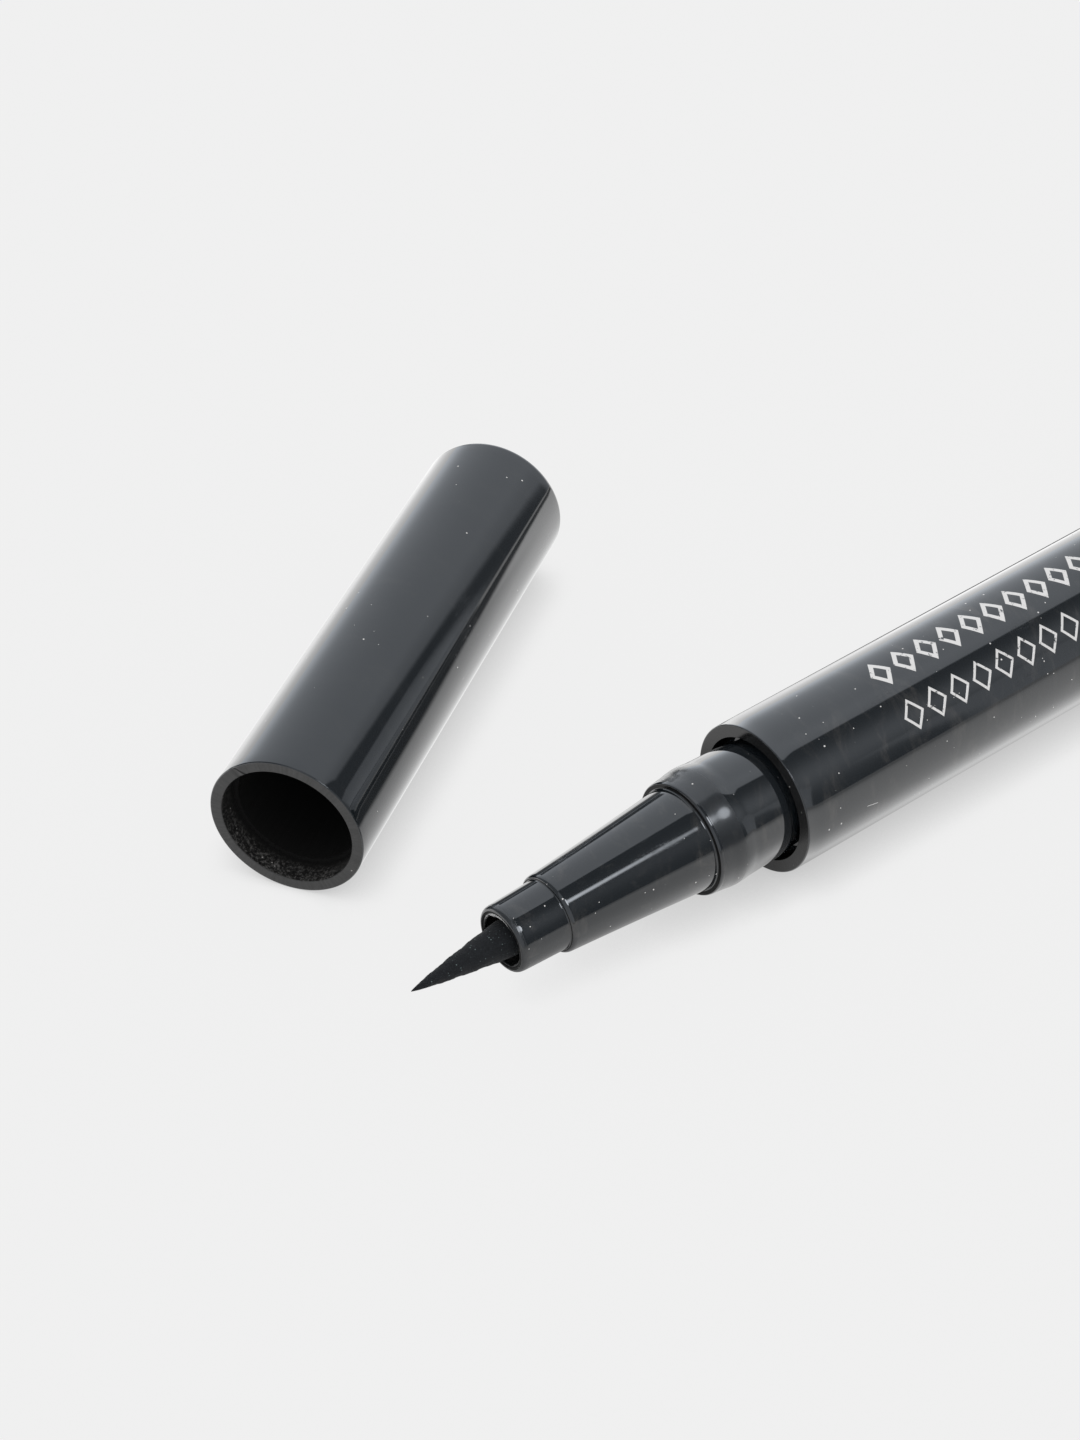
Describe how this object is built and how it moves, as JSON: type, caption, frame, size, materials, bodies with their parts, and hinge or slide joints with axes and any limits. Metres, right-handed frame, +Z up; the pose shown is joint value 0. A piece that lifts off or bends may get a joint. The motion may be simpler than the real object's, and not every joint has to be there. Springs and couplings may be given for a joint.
{
  "type": "liquid eyeliner pen",
  "caption": "Slim round pen with a pointed felt nib on a stepped cone, a sealed ink tank behind a finned collector, and its pull-off cap lying beside it.",
  "frame": {"origin": "centre of the tail plug's flat end face, on the pen's axis", "axes": "+X along the pen's axis out of the tail, so the nib points to -X; +Z up, with the pen lying on the plane 5.55 mm under its axis; the cap lies on the +Y side"},
  "size_m": [0.1262, 0.0474, 0.0111],
  "materials": {
    "barrel_gloss": "high gloss black",
    "section_gloss": "high gloss black",
    "cap_gloss": "high gloss black",
    "nib_felt": "ink-soaked felt",
    "holder_plastic": "natural white plastic",
    "fibre": "bonded fibre rod, wetted with ink",
    "collector_plastic": "natural plastic",
    "seal_rubber": "soft grey",
    "ball_steel": "polished steel",
    "inner_cap_plastic": "soft dark plastic",
    "spring_steel": "drawn wire"
  },
  "bodies": {
    "pen": {"barrel": "barrel_gloss", "tail_plug": "barrel_gloss", "front_section": "section_gloss", "nib": "nib_felt", "nib_holder": "holder_plastic", "relay_core": "fibre", "collector": "collector_plastic", "tank_seal": "seal_rubber"},
    "ball": {"mixing_ball": "ball_steel"},
    "cap": {"cap_shell": "cap_gloss", "cap_spring": "spring_steel", "retainer_ring": "inner_cap_plastic"},
    "inner_cap": {"inner_cap": "inner_cap_plastic"}
  },
  "joints": [
    {"name": "cap_pull", "type": "slide", "parent": "pen", "child": "cap", "axis": [0.8526, 0.5225, 0], "range_m": [0, 0.03]},
    {"name": "inner_cap_travel", "type": "slide", "parent": "cap", "child": "inner_cap", "axis": [0.8526, 0.5225, 0], "range_m": [0, 0.0016], "stiffness_N_per_m": 500, "springref_m": -0.0012, "deforming": ["cap_spring"]},
    {"name": "ball_roll", "type": "slide", "parent": "pen", "child": "ball", "axis": [1, 0, 0], "range_m": [-0.038, 0.0228]}
  ]
}
